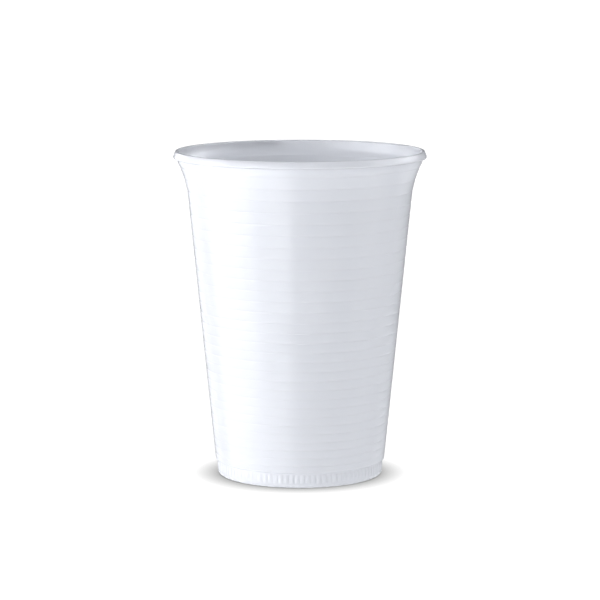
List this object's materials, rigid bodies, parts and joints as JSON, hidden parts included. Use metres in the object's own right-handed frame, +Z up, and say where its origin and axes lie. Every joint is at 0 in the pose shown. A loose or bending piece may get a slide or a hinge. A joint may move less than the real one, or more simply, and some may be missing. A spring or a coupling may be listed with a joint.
{
  "type": "disposable drinking cup",
  "caption": "Tapered white drinking cup thermoformed from one thin plastic sheet, with a ribbed wall, curled lip, fluted base band and recessed floor.",
  "frame": {"origin": "centre of the foot, on the plane that the cup stands on", "axes": "+Z up along the cup's axis towards the lip; X and Y are equal, because the cup is round"},
  "size_m": [0.0704, 0.0704, 0.0908],
  "materials": {
    "white_plastic": "glossy white polypropylene sheet, slightly translucent, with a faint bluish cast"
  },
  "bodies": {
    "root": {"cup": "white_plastic"}
  },
  "joints": []
}
